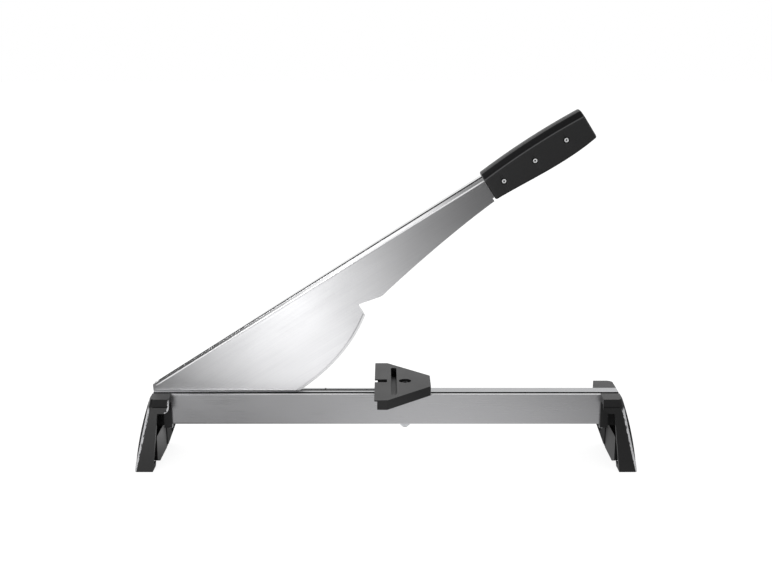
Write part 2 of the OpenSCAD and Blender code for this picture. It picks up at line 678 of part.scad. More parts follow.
nut_wall = 1;
handle_nut_d = handle_screw_d + 2 * nut_wall;
head_h = 1.4;
nut_gap = 0.5;
cross_share = 0.6;
slot_share = 0.8;
slot_cut = 0.85;
module handle_screws() {
    seat = handle_t / 2 - head_recess;
    color([0.8, 0.8, 0.8]) arm_frame() for (p = screw_places) translate(p)
        difference() {
            union() {
                pin_y(handle_screw_d, -seat, seat / 2);
                translate([0, -seat, 0]) rotate([90, 0, 0])
                    cylinder(d1 = handle_head_d, d2 = handle_head_d - head_h, h = head_h);
            }
            for (turn = [0, 90]) rotate([0, turn, 0]) translate([0, -seat - head_h, 0])
                cube([handle_head_d * cross_share, head_h, tiny_round], center = true);
        }
}
module handle_nuts() {
    seat = handle_t / 2 - head_recess;
    color([0.72, 0.72, 0.72]) arm_frame() for (p = screw_places) translate(p)
        difference() {
            union() {
                pin_y(handle_nut_d, blade_t / 2 + nut_gap, seat);
                pin_y(nut_head_d, seat, seat + head_h);
            }
            pin_y(handle_screw_d + 2 * snug, 0, seat - head_h);
            translate([0, seat + head_h, 0])
                cube([nut_head_d * slot_share, head_h, slot_cut], center = true);
        }
}

// Fence

tip_x = fence_w - fence_edge;
slope_x = fence_flat - fence_edge;
tip_round = 3;
module fence_plan(lap = 0) polygon(rounded(
    [[-fence_edge + lap, -fence_l / 2], [slope_x, -fence_l / 2], [tip_x, -fence_tip / 2],
     [tip_x, fence_tip / 2], [slope_x, fence_l / 2], [-fence_edge + lap, fence_l / 2]],
    [small_round, small_round, tip_round, tip_round, small_round, small_round]));
module groove_plan(w, l) {
    square([w, l - w], center = true);
    for (side = [-1, 1]) translate([0, side * (l - w) / 2]) circle(d = w);
}
fence_top = bed_z + fence_h;
// The groove lies between the slit's end and the screw's recess
slit_end = slit_l - fence_edge;
groove_place_share = 0.58;
groove_x = slit_end + (fence_screw_x - recess_d / 2 - slit_end) * groove_place_share;
module fence() {
    color([0.17, 0.17, 0.18]) difference() {
        union() {
            translate([0, 0, bed_z]) linear_extrude(fence_h) fence_plan(skin_lap);
            translate([0, 0, fence_top - skin_t]) linear_extrude(skin_t) fence_plan();
        }
        translate([-fence_edge - over, -slit_w / 2, bed_z - over])
            cube([slit_l + over, slit_w, fence_h + 2 * over]);
        translate([groove_x, 0, fence_top - groove_depth]) linear_extrude(groove_depth + over)
            groove_plan(groove_w, groove_l);
        translate([fence_screw_x, 0, fence_top - recess_depth])
            cylinder(d = recess_d, h = recess_depth + over);
        translate([fence_screw_x, 0, bed_z - over]) cylinder(d = bolt_d + 2 * run_fit, h = fence_h);
    }
}

// The fence screw clamps the fence on the bed; a plate and a nut hold it under the rail
plate_t = 1.5;
plate_w = 9.5;
fence_seat = fence_top - recess_depth;
fence_head_h = 3.4;
fence_cross_share = 0.5;
low_nut_share = 0.85;
low_nut_end_share = 0.72;
low_nut_h = nut_h * low_nut_share;
screw_low = rail_z - plate_t - low_nut_h - tiny_round;
module fence_screw() {
    color([0.8, 0.8, 0.8]) translate([fence_screw_x, 0, 0]) difference() {
        union() {
            translate([0, 0, screw_low]) cylinder(d = bolt_d, h = fence_seat - screw_low);
            translate([0, 0, fence_seat])
                cylinder(d1 = bolt_head_d, d2 = bolt_head_d - fence_head_h, h = fence_head_h);
        }
        for (turn = [0, 90]) rotate(turn) translate([0, 0, fence_seat + fence_head_h])
            cube([bolt_head_d * fence_cross_share, 2 * tiny_round, fence_head_h], center = true);
    }
}
module fence_plate() {
    color([0.7, 0.7, 0.7]) difference() {
        translate([fence_screw_x - plate_w / 2, -rail_w / 2, rail_z - plate_t])
            cube([plate_w, rail_w, plate_t]);
        translate([fence_screw_x, 0, rail_z - plate_t - over])
            cylinder(d = bolt_hole_d, h = plate_t + 2 * over);
    }
}
module fence_nut() {
    corners = nut_flats / cos(180 / 6);
    color([0.66, 0.66, 0.67]) translate([fence_screw_x, 0, rail_z - plate_t - low_nut_h]) difference() {
        intersection() {
            cylinder(d = corners, h = low_nut_h, $fn = 6);
            cylinder(d1 = nut_flats * low_nut_end_share, d2 = corners + low_nut_h, h = low_nut_h);
        }
        translate([0, 0, -over]) cylinder(d = bolt_hole_d, h = low_nut_h + 2 * over);
    }
}

left_foot();
right_foot();
bed_rail();
front_rail();
front_rail_screws();
pivot_bolt();
pivot_nut();
pivot_washers();
pivot_spacers();
pivot_bush();
cross_bolt();
cross_nut();
cross_washers();
cross_sleeve();
blade();
spine();
handle_front();
handle_rear();
handle_screws();
handle_nuts();
fence();
fence_screw();
fence_plate();
fence_nut();
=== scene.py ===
import json
from math import cos, pi, radians, sin
import bpy
import numpy as np
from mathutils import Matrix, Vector


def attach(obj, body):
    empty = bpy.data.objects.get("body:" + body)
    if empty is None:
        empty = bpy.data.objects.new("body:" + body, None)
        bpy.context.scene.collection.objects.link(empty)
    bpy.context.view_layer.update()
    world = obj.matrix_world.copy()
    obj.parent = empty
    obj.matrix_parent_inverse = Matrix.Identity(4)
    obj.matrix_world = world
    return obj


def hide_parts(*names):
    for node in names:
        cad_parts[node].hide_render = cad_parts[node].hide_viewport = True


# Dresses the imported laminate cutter: an aluminium bed on two moulded feet, a ground blade under a
# folded spine, a two-shell handle and a triangular fence. Lengths are millimetres unless a note says metres.
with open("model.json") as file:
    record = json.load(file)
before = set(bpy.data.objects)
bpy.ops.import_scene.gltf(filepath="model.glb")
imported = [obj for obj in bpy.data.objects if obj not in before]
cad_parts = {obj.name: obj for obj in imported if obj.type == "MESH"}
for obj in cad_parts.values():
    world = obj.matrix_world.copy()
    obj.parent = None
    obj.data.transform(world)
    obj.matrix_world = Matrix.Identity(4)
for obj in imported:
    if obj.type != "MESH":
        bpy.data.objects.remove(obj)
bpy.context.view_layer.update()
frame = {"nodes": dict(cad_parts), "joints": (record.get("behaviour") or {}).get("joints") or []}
nodes = frame["nodes"]
mm = 0.001
print("frame loaded,", len(nodes), "nodes")

# The arm's own axes at rest: u runs from the pivot to the handle, w square to it, away from the bed
arm = {"restAngle": 32.5}
armTurn = radians(arm["restAngle"])
armAlong = np.array([cos(armTurn), 0, sin(armTurn)])
armUp = np.array([-armAlong[2], 0, armAlong[0]])
pivot = np.array(next(joint["pos_m"] for joint in frame["joints"] if joint["name"] == "arm_hinge"))


# Places arrays of u, y and w in the frame: pivot + u along the arm + w square to it + y in depth
def armPoints(u, y, w):
    depth = np.array([0, 1, 0])
    return pivot + mm * (u[..., None] * armAlong + w[..., None] * armUp + y[..., None] * depth)


# Makes a closed mesh from rings of points: quads join each ring to the next, one face closes each end,
# and the faces are turned outwards by the sign of the volume they hold
def ringMesh(name, rings):
    count, around = rings.shape[:2]
    index = np.arange(count * around).reshape(count, around)
    here, ahead = index[:-1], index[1:]
    quads = np.stack([here, np.roll(here, -1, 1), np.roll(ahead, -1, 1), ahead], -1).reshape(-1, 4)
    points = rings.reshape(-1, 3)
    faces = quads.tolist() + [index[0][::-1].tolist(), index[-1].tolist()]
    corner = points[quads] - points.mean(0)
    normal = sum(np.cross(corner[:, k], corner[:, (k + 1) % 4]) for k in range(4))
    if np.einsum("ij,ij->", corner.mean(1), normal) < 0:
        faces = [face[::-1] for face in faces]
    mesh = bpy.data.meshes.new(name)
    mesh.from_pydata(points.tolist(), [], faces)
    mesh.polygons.foreach_set("use_smooth", np.ones(len(faces), bool))
    mesh.update()
    piece = bpy.data.objects.new(name, mesh)
    bpy.context.scene.collection.objects.link(piece)
    return piece


# Rounds the corners of closed outlines, one outline per row: each corner becomes a short quadratic
# curve (1-s)^2 A + 2s(1-s) C + s^2 B, from A to B, a given distance before and after the corner C
def roundedRings(corners, reach, steps):
    before = np.roll(corners, 1, 1) - corners
    after = np.roll(corners, -1, 1) - corners
    reach = np.broadcast_to(reach, corners.shape[:2])[..., None]
    start = corners + before / np.linalg.norm(before, axis=-1, keepdims=True) * reach
    end = corners + after / np.linalg.norm(after, axis=-1, keepdims=True) * reach
    a, b, c = start[:, :, None], end[:, :, None], corners[:, :, None]
    s = np.linspace(0, 1, steps + 1)[:, None]
    curve = (1 - s) ** 2 * a + 2 * s * (1 - s) * c + s ** 2 * b
    return curve.reshape(len(corners), -1, 2)


# The spine: a sheet folded over the blade's back, with a slanting crest, upright sides and a lip that
# flares out at the foot of each side. One closed outline in depth and height is carried along u,
# wider and higher towards the handle. The lip's painted highlight is a light band of heights over its lower
# edge.
spine = {
    "uFrom": 6.5, "uTo": 413.9, "steps": 60,
    "lip": 17.7, "heights": (4.3, 5.8), "widths": (7.0, 14.0), "slant": (1.0, 1.2),
    "wall": 1.0, "slit": 1.13, "edge": 0.3, "flare": 1.3, "flareOut": 0.3,
    "outerReach": (0.1, 0.1, 0.1, 0.15, 0.12, 0.12), "innerReach": (0.1, 0.2, 0.2), "roundSteps": 5,
    "highlightRise": (-0.1, 0.2), "highlightFall": (1.2, 1.6),
}


def spineRings():
    share = np.linspace(0, 1, spine["steps"])
    u = spine["uFrom"] + share * (spine["uTo"] - spine["uFrom"])
    half = np.interp(share, (0, 1), spine["widths"]) / 2
    height = np.interp(share, (0, 1), spine["heights"])
    slant = np.interp(share, (0, 1), spine["slant"])
    slit, wall, edge, flare = (spine[size] * np.ones_like(u) for size in ("slit", "wall", "edge", "flare"))
    side = half - spine["flareOut"]
    within = side - wall
    # the front half: along the outside from the slit below it to the crest, then back along the inside
    outside = [(slit, 0 * u), (half, 0 * u), (half, edge), (side, flare), (side, height - slant),
               (side - slant, height)]
    inside = [(within, height - wall), (within, wall), (slit, wall)]
    outerHalf = [(-y, w) for y, w in outside] + outside[::-1]
    innerHalf = inside[::-1] + [(-y, w) for y, w in inside]
    corners = np.moveaxis(np.array(outerHalf + innerHalf), -1, 0)
    outer, inner = spine["outerReach"], spine["innerReach"]
    reach = np.array([outer + outer[::-1] + inner + inner[::-1]])
    rings = roundedRings(corners, reach, spine["roundSteps"])
    across = np.broadcast_to(u[:, None], rings.shape[:2])
    return armPoints(across, rings[..., 0], rings[..., 1] + spine["lip"])


spinePiece = ringMesh("spine_fold", spineRings())
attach(spinePiece, "arm")
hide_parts("spine")

# The handle: two shells. Each is a section carried along u: a slightly domed top, a sloping shoulder,
# an upright side and a tight rounding below, drawn in at both ends. The reach is how far the rounding
# of each of the section's eight corners goes.
handle = {
    "uFrom": 408.0, "length": 116.5, "halfDepth": 14.0, "top": 27.0, "rise": 1.5, "crown": 2.3, "low": 3.2,
    "belly": 3.0, "bellySkew": 1.6, "flatHalf": 8.8, "flatInset": 0.5, "dome": 0.02, "shoulder": 6.8,
    "seam": 0.2, "reach": (0.05, 0.1, 2.0, 0.8, 2.2, 1.3, 0.1, 0.05), "roundSteps": 4,
    "endRound": 1.8, "endSteps": 6, "steps": 48,
    "screwU": (424.5, 461.0, 497.5), "screwW": (8.5, 9.4, 10.3),
    "headHole": 3.4, "nutHole": 4.0, "holeDepth": 2.0, "holePast": 1.0, "holeSteps": 40,
}


# The section's top is top + rise s + crown 4s(1-s) and its foot -low - belly 4k(1-k), with k = s ^ skew,
# for s from 0 to 1 along the shell; at each end both draw in on a quarter circle
def handleRings(side):
    turn = np.linspace(0, pi / 2, handle["endSteps"])
    bend, length = handle["endRound"], handle["length"]
    middle = np.linspace(bend, length - bend, handle["steps"])[1:-1]
    along = np.concatenate([bend * (1 - np.cos(turn)), middle, length - bend * (1 - np.cos(turn[::-1]))])
    inset = np.concatenate([bend * (1 - np.sin(turn)), 0 * middle, bend * (1 - np.sin(turn[::-1]))])
    share = along / length
    skew = share ** handle["bellySkew"]
    top = handle["top"] + handle["rise"] * share + handle["crown"] * 4 * share * (1 - share) - inset
    low = -handle["low"] - handle["belly"] * 4 * skew * (1 - skew) + inset
    deep = handle["halfDepth"] - inset
    flat = handle["flatHalf"] - handle["flatInset"] * inset
    dome = handle["dome"] * flat ** 2
    seam = handle["seam"] * np.ones_like(share)
    corners = np.array([(0 * share, top - seam), (seam, top), (flat / 2, top - dome / 4), (flat, top - dome),
                        (deep, top - handle["shoulder"]), (deep, low), (seam, low), (0 * share, low + seam)])
    rings = roundedRings(np.moveaxis(corners, -1, 0), np.array([handle["reach"]]), handle["roundSteps"])
    u = np.broadcast_to((handle["uFrom"] + along)[:, None], rings.shape[:2])
    return armPoints(u, side * rings[..., 0], rings[..., 1])


# A round cutter for a screw's recess: a cylinder across the arm from one depth to another
def recessCutter(u, w, radius, yFrom, yTo):
    angle = np.linspace(0, 2 * pi, handle["holeSteps"], endpoint=False)
    ringU = np.tile(u + radius * np.cos(angle), (2, 1))
    ringW = np.tile(w + radius * np.sin(angle), (2, 1))
    depth = np.array([yFrom, yTo])[:, None] * np.ones_like(angle)
    return ringMesh("cutter", armPoints(ringU, depth, ringW))


# Cuts holes with Boolean modifiers, keeps the result as the piece's mesh and removes the cutters
def cutHoles(piece, cutters):
    for cutter in cutters:
        cut = piece.modifiers.new("hole", "BOOLEAN")
        cut.operation = "DIFFERENCE"
        cut.solver = "EXACT"
        cut.object = cutter
    shaped = bpy.data.meshes.new_from_object(piece.evaluated_get(bpy.context.evaluated_depsgraph_get()))
    piece.modifiers.clear()
    piece.data = shaped
    for cutter in cutters:
        bpy.data.objects.remove(cutter)


handleShells = []
for name, side, node, hole in (("handle_shell_front", -1, "handle_front", "headHole"),
                               ("handle_shell_rear", 1, "handle_rear", "nutHole")):
    shell = ringMesh(name, handleRings(side))
    bottom = side * (handle["halfDepth"] - handle["holeDepth"])
    outside = side * (handle["halfDepth"] + handle["holePast"])
    cutHoles(shell, [recessCutter(u, w, handle[hole], bottom, outside)
                     for u, w in zip(handle["screwU"], handle["screwW"])])
    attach(shell, "arm")
    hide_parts(node)
    handleShells.append(shell)
print("spine and handle made")

# Materials


# One sRGB colour, written as a hex number, in Blender's linear values
def linear(hexColour):
    channels = np.array([hexColour >> 16 & 255, hexColour >> 8 & 255, hexColour & 255]) / 255
    value = np.where(channels <= 0.04045, channels / 12.92, ((channels + 0.055) / 1.055) ** 2.4)
    return (*value, 1.0)


# Fills a node's inputs, given by name or in the order of those in use: a number is set, a hex colour made
# linear, a socket linked, and a node linked by its first output in use
def fill(tree, node, inputs):
    inUse = [socket for socket in node.inputs if socket.enabled]
    for key, value in inputs.items() if isinstance(inputs, dict) else enumerate(inputs):
        socket = node.inputs[key] if isinstance(key, str) else inUse[key]
        if isinstance(value, bpy.types.Node):
            value = next(output for output in value.outputs if output.enabled)
        if isinstance(value, bpy.types.NodeSocket):
            tree.links.new(value, socket)
        elif isinstance(value, int) and socket.type == "RGBA":
            socket.default_value = linear(value)
        else:
            socket.default_value = value
    return node


# Adds one node with its inputs and settings
def addNode(tree, kind, inputs=(), **settings):
    node = tree.nodes.new("ShaderNode" + kind)
    for setting, value in settings.items():
        setattr(node, setting, value)
    return fill(tree, node, inputs)


# A material whose shader starts from one colour and plain values
def newMaterial(name, colour, metallic, roughness, **more):
    material = bpy.data.materials.new(name)
    material.use_nodes = True
    tree = material.node_tree
    shader = tree.nodes["Principled BSDF"]
    fill(tree, shader, {"Base Color": colour, "Metallic": metallic, "Roughness": roughness, **more})
    return material, tree, shader


# The surface's place on the piece, in millimetres, as x, y and z
def placeOn(tree):
    place = addNode(tree, "TexCoord").outputs["Object"]
    place = addNode(tree, "VectorMath", (place, 1 / mm), operation="SCALE")
    return addNode(tree, "SeparateXYZ", (place,)).outputs


# The way the surface faces, as x, y and z of its normal
def facing(tree):
    return addNode(tree, "SeparateXYZ", (addNode(tree, "NewGeometry").outputs["Normal"],)).outputs


# The surface's place along one of the arm's axes, in millimetres from the pivot
def placeAlong(tree, axis):
    place = addNode(tree, "TexCoord").outputs["Object"]
    place = addNode(tree, "VectorMath", (place, pivot), operation="SUBTRACT")
    return addNode(tree, "VectorMath", (place, axis / mm), operation="DOT_PRODUCT")


# The length of a step given by two distances square to each other
def stepLength(tree, first, second):
    return addNode(tree, "VectorMath", (addNode(tree, "CombineXYZ", (first, second)),), operation="LENGTH")


# Where all of some shares hold: their product
def allOf(tree, *shares):
    joined = shares[0]
    for share in shares[1:]:
        joined = addNode(tree, "Math", (joined, share), operation="MULTIPLY")
    return joined


# Where any of some shares holds: the greatest
def anyOf(tree, *shares):
    joined = shares[0]
    for share in shares[1:]:
        joined = addNode(tree, "Math", (joined, share), operation="MAXIMUM")
    return joined


# The share, from 0 to 1, in which a value lies within limits: it goes up smoothly across the first
# range and down across the second, and either may be left out
def between(tree, value, rise=None, fall=None):
    edges = [addNode(tree, "MapRange", (value, *limits, start, 1 - start), interpolation_type="SMOOTHSTEP")
             for limits, start in ((rise, 0.0), (fall, 1.0)) if limits]
    return allOf(tree, *edges)


# A noise over the piece, stretched along its axes: sizes are the lengths of its features
def noiseOver(tree, sizes, detail, turn=0.0, roughness=0.5):
    place = addNode(tree, "TexCoord").outputs["Object"]
    place = addNode(tree, "Mapping", {
        "Vector": place, "Rotation": (0, turn, 0), "Scale": [size * mm for size in sizes],
    }, vector_type="TEXTURE")
    return addNode(tree, "TexNoise", {
        "Vector": place, "Scale": 1.0, "Detail": detail, "Roughness": roughness})


# Spreads the middle part of a noise over a range of values
def spread(tree, noise, low, high, middle=(0.3, 0.7)):
    return addNode(tree, "MapRange", (noise, *middle, low, high))


# Moulded plastic: glass-filled nylon from a spark-eroded tool, an even satin black with a fine grain,
# drawn a little coarse to show, and broad faint clouds from the flow of the melt. A highlight share turns
# the colour to grey: a painted highlight; a burnished share makes the surface smooth, so that it shines at a
# grazing look.
moulding = {
    "clouds": (38.0, 38.0, 38.0), "cloudShare": 0.6, "cloudGloss": 0.03, "grainGloss": 0.04,
    "burnished": 0.1, "bump": 0.3, "grainHeight": 0.03,
}


def mouldedPlastic(name, colour, cloudy, roughness, grain, highlight=None, highlightTint=0xC8C8CA, burnish=None):
    material, tree, shader = newMaterial(name, colour, 0.0, roughness, IOR=1.46)
    fine = noiseOver(tree, (grain, grain, grain), 2.0)
    broad = noiseOver(tree, moulding["clouds"], 3.0)
    clouds = spread(tree, broad, 0.0, moulding["cloudShare"])
    tint = addNode(tree, "Mix", (clouds, colour, cloudy), data_type="RGBA")
    byGrain, byCloud = moulding["grainGloss"], moulding["cloudGloss"]
    gloss = addNode(tree, "Math", (spread(tree, fine, roughness - byGrain, roughness + byGrain),
                                   spread(tree, broad, -byCloud, byCloud)), operation="ADD")
    if highlight:
        tint = addNode(tree, "Mix", (highlight(tree), tint, highlightTint), data_type="RGBA")
    if burnish:
        gloss = addNode(tree, "Mix", (burnish(tree), gloss, moulding["burnished"]))
    bump = addNode(tree, "Bump", {
        "Strength": moulding["bump"], "Distance": moulding["grainHeight"] * mm, "Height": fine})
    fill(tree, shader, {"Base Color": tint, "Roughness": gloss, "Normal": bump})
    return material


# The feet's painted sheen. The upright outer rounding is painted light grey at the front, below the slab,
# where the normal
# points outwards and partly forwards: a painted reflection of the grazing light; a coarse noise breaks it up
# towards the flat.
# The outer side, which faces straight away from the middle, is burnished.
footSheenAndGloss = {
    "out": (0.3, 0.6), "forward": (-0.12, -0.02), "below": (63.0, 67.0),
    "patch": (1.6, 1.6, 2.4), "broken": 0.3, "outer": (0.7, 0.85),
}
# A painted highlight next to the blade: a light band along the left foot's inner end, from the slab down and
# round the arm's lower corner. It is where the distance to a rounded corner's outline is less than its width.
endHighlightPlace = {
    "x": -223.0, "z": 60.0, "round": 6.0, "highlightWidth": (-0.3, 1.9), "patch": (3.0, 3.0, 3.0),
    "inner": 1.0, "top": 74.0, "front": -30.0,
}


# How far a foot's surface faces outwards: the normal's x, with the sign of the foot's side
def outward(tree):
    side = addNode(tree, "Math", (placeOn(tree)["X"],), operation="SIGN")
    return addNode(tree, "Math", (facing(tree)["X"], side), operation="MULTIPLY")


def outerSide(tree):
    return between(tree, outward(tree), footSheenAndGloss["outer"])


# A painted reflection: the light grey band on the front outer rounding
def cornerSheen(tree):
    patchy = spread(tree, noiseOver(tree, footSheenAndGloss["patch"], 2.0), -1.0, 1.0)
    broken = addNode(tree, "Math", (patchy, footSheenAndGloss["broken"], outward(tree)), operation="MULTIPLY_ADD")
    turned = between(tree, broken, footSheenAndGloss["out"])
    forward = between(tree, facing(tree)["Y"], fall=footSheenAndGloss["forward"])
    return allOf(tree, turned, forward, between(tree, placeOn(tree)["Z"], fall=footSheenAndGloss["below"]))


# A painted highlight: the light band along the left foot's inner end and the arm's lower corner
def endHighlight(tree):
    x, y, z = placeOn(tree)
    bend = endHighlightPlace["round"]
    inX = addNode(tree, "Math", (x, endHighlightPlace["x"] - bend), operation="SUBTRACT")
    inZ = addNode(tree, "Math", (endHighlightPlace["z"] + bend, z), operation="SUBTRACT")
    far = stepLength(tree, *(addNode(tree, "Math", (way, 0.0), operation="MAXIMUM") for way in (inX, inZ)))
    width = spread(tree, noiseOver(tree, endHighlightPlace["patch"], 2.0), *endHighlightPlace["highlightWidth"])
    band = addNode(tree, "Math", (far, addNode(tree, "Math", (bend, width), operation="SUBTRACT")),
                   operation="GREATER_THAN")
    inner = addNode(tree, "Math", (inX, endHighlightPlace["inner"]), operation="GREATER_THAN")
    low, left, front = (addNode(tree, "Math", (way, limit), operation="LESS_THAN")
                        for way, limit in ((z, endHighlightPlace["top"]), (x, 0.0), (y, endHighlightPlace["front"])))
    return allOf(tree, band, inner, low, left, front)


# Both painted highlights of the feet together
def footHighlights(tree):
    return anyOf(tree, endHighlight(tree), cornerSheen(tree))


# A painted highlight along the handle's upper side edge, where the normal in the arm's own axes points partly
# up
handleHighlightBand = {"rise": (0.12, 0.24), "fall": (0.32, 0.44), "share": 0.2}


def handleHighlight(tree):
    face = addNode(tree, "TexCoord").outputs["Normal"]
    up = addNode(tree, "VectorMath", (face, armUp), operation="DOT_PRODUCT")
    return allOf(tree, between(tree, up, handleHighlightBand["rise"], handleHighlightBand["fall"]), handleHighlightBand["share"])


# Brushed metal: fine lines (line wide, length long) along the brushing, with broad cloudy changes of gloss
# The tangent runs across the lines, the way in which they stretch a reflection:
# tangent = normal x brushing. A darkening share is painted shade, with a saw mark on the bed; a bright share
# is a painted highlight, light and mostly matt.
# The dark colour is for painted shade and the saw mark; the near-white one is for painted highlights.
brushing = {
    "clouds": (60.0, 25.0, 25.0), "cloudGloss": 0.02, "lineGloss": 0.04, "lineMiddle": (0.25, 0.75),
    "bump": 0.5, "shadeAndSawColour": 0x161617, "highlightWhite": 0xF4F4F5, "scatter": 0.95,
}


def brushedMetal(name, colour, dark, roughness, line, length, turn, anisotropy, lineHeight,
                 shadeAndMarks=None, bright=None):
    material, tree, shader = newMaterial(name, colour, 1.0, roughness, Anisotropic=anisotropy)
    lines = noiseOver(tree, (length, line, line), 4.0, -turn, 0.6)
    broad = noiseOver(tree, brushing["clouds"], 3.0, -turn)
    streaks = spread(tree, lines, 0.0, 1.0, brushing["lineMiddle"])
    tint = addNode(tree, "Mix", (streaks, colour, dark), data_type="RGBA")
    byLine, byCloud = brushing["lineGloss"], brushing["cloudGloss"]
    gloss = addNode(tree, "Math", (spread(tree, lines, roughness - byLine, roughness + byLine),
                                   spread(tree, broad, -byCloud, byCloud)), operation="ADD")
    if shadeAndMarks:
        tint = addNode(tree, "Mix", (shadeAndMarks(tree), tint, brushing["shadeAndSawColour"]), data_type="RGBA")
    if bright:
        share = bright(tree)
        tint = addNode(tree, "Mix", (share, tint, brushing["highlightWhite"]), data_type="RGBA")
        metallic = addNode(tree, "Math", (share, -brushing["scatter"], 1.0), operation="MULTIPLY_ADD")
        fill(tree, shader, {"Metallic": metallic})
    bump = addNode(tree, "Bump", {
        "Strength": brushing["bump"], "Distance": lineHeight * mm, "Height": lines})
    along = addNode(tree, "CombineXYZ", (cos(turn), 0.0, sin(turn)))
    along = addNode(tree, "VectorTransform", (along,),
                    vector_type="VECTOR", convert_from="OBJECT", convert_to="WORLD")
    face = addNode(tree, "NewGeometry").outputs["Normal"]
    across = addNode(tree, "VectorMath", (face, along), operation="CROSS_PRODUCT")
    fill(tree, shader, {"Base Color": tint, "Roughness": gloss, "Normal": bump, "Tangent": across})
    return material


# Where the metals have painted highlights, painted shade and a mark. The blade has a painted highlight where
# it turns
# away from the flat: the bevel and the edges. The front rail has a painted highlight on top, less so near the
# pivot.
# The slits have painted shade below the top edge: the bed's front edge and the rail's back.
# The bed has painted shade along the slot, and a saw mark: a short black line across the rear strip.
paintedOnMetal = {
    "ground": (0.97, 0.995), "railTopHighlight": (0.4, 0.8), "highlightAlong": (-200.0, -120.0),
    "slitTop": (74.7, 75.0), "bedSlit": (6.9, 6.5), "railSlit": (-12.6, -12.2),
    "slotEdge": (2.2, 2.7), "slotTo": 4.0, "sawAt": -63.6, "sawHalf": 0.75, "sawFrom": 1.0, "sawAbove": 74.0,
}


# A painted highlight on the blade's bevel and edges
def bevelHighlight(tree):
    flat = addNode(tree, "Math", (facing(tree)["Y"],), operation="ABSOLUTE")
    return between(tree, flat, fall=paintedOnMetal["ground"])


# A painted highlight on the front rail's top
def railTopHighlight(tree):
    return allOf(tree, between(tree, facing(tree)["Z"], paintedOnMetal["railTopHighlight"]),
                 between(tree, placeOn(tree)["X"], paintedOnMetal["highlightAlong"]))


# Painted shade in a slit, below its top edge
def slitShade(tree, depths):
    x, y, z = placeOn(tree)
    return allOf(tree, between(tree, y, depths), between(tree, z, fall=paintedOnMetal["slitTop"]))


# Painted shade in the front rail's slit
def railShade(tree):
    return slitShade(tree, paintedOnMetal["railSlit"])


# Painted shade in the bed's slit and along the slot, and a saw mark across the rear strip
def bedShadeAndSaw(tree):
    x, y, z = placeOn(tree)
    line = addNode(tree, "Math", (x, paintedOnMetal["sawAt"], paintedOnMetal["sawHalf"]), operation="COMPARE")
    behind = addNode(tree, "Math", (y, paintedOnMetal["sawFrom"]), operation="GREATER_THAN")
    high = addNode(tree, "Math", (z, paintedOnMetal["sawAbove"]), operation="GREATER_THAN")
    saw = allOf(tree, line, behind, high)
    edge = between(tree, addNode(tree, "Math", (y,), operation="ABSOLUTE"), fall=paintedOnMetal["slotEdge"])
    slot = allOf(tree, edge, addNode(tree, "Math", (x, paintedOnMetal["slotTo"]), operation="LESS_THAN"))
    return anyOf(tree, slitShade(tree, paintedOnMetal["bedSlit"]), slot, saw)


# The spine's lip, with a painted highlight along both sides
def lipHighlight(tree):
    rise, fall = ([spine["lip"] + height for height in spine[limits]] for limits in ("highlightRise", "highlightFall"))
    return between(tree, placeAlong(tree, armUp), rise, fall)


# Painted shade on the handle's screw heads: a dark spot for the drive's hollow at the middle and a dark ring
# of shade at the rim. Along the arm the nearest screw is found by rounding the distance from the middle one
# to whole pitches.
heads = {"drive": (0.7, 1.1), "rim": (1.9, 2.4), "shade": 0x101012}


def headShade(tree):
    (firstU, middleU, _), (firstW, middleW, _) = handle["screwU"], handle["screwW"]
    u = addNode(tree, "Math", (placeAlong(tree, armAlong), middleU), operation="SUBTRACT")
    w = addNode(tree, "Math", (placeAlong(tree, armUp), middleW), operation="SUBTRACT")
    turns = addNode(tree, "Math", (u, middleU - firstU), operation="DIVIDE")
    turns = addNode(tree, "Math", (turns,), operation="ROUND")
    u, w = (addNode(tree, "Math", (turns, -pitch, way), operation="MULTIPLY_ADD")
            for way, pitch in ((u, middleU - firstU), (w, middleW - firstW)))
    far = stepLength(tree, u, w)
    return anyOf(tree, between(tree, far, fall=heads["drive"]), between(tree, far, heads["rim"]))


# Zinc-plated steel: bright and slightly blue, with a soft mottled gloss from the bath
def platedSteel(name, light, dark, metallic=1.0, shade=None):
    material, tree, shader = newMaterial(name, light, metallic, 0.28)
    mottle = noiseOver(tree, (1.5, 1.5, 1.5), 3.0)
    tint = addNode(tree, "Mix", (spread(tree, mottle, 0.0, 1.0), light, dark), data_type="RGBA")
    if shade:
        tint = addNode(tree, "Mix", (shade(tree), tint, heads["shade"]), data_type="RGBA")
    fill(tree, shader, {"Base Color": tint, "Roughness": spread(tree, mottle, 0.2, 0.36)})
    return material


# Blackened steel: an oxide coat, dark and fairly glossy, faintly uneven
def blackSteel():
    material, tree, shader = newMaterial("blackened steel", 0x1E1E20, 1.0, 0.3)
    mottle = noiseOver(tree, (1.0, 1.0, 1.0), 3.0)
    fill(tree, shader, {"Base Color": addNode(tree, "Mix", (mottle, 0x161618, 0x2A2A2C), data_type="RGBA")})
    return material


# Natural nylon: milky, half matt, faintly cloudy from the melt
def naturalNylon():
    material, tree, shader = newMaterial("natural nylon", 0xDEDCD4, 0.0, 0.45, IOR=1.53)
    cloud = noiseOver(tree, (4.0, 4.0, 4.0), 2.0)
    fill(tree, shader, {"Base Color": addNode(tree, "Mix", (cloud, 0xE4E2DA, 0xD2CFC5), data_type="RGBA")})
    return material


# Sintered bronze: matt brown-gold, with the pores of the pressed powder as fine dark specks
def sinteredBronze():
    material, tree, shader = newMaterial("sintered bronze", 0xA88452, 1.0, 0.42)
    pores = spread(tree, noiseOver(tree, (0.4, 0.4, 0.4), 2.0), 0.0, 1.0)
    fill(tree, shader, {"Base Color": addNode(tree, "Mix", (pores, 0xA88452, 0x6E5433), data_type="RGBA")})
    return material


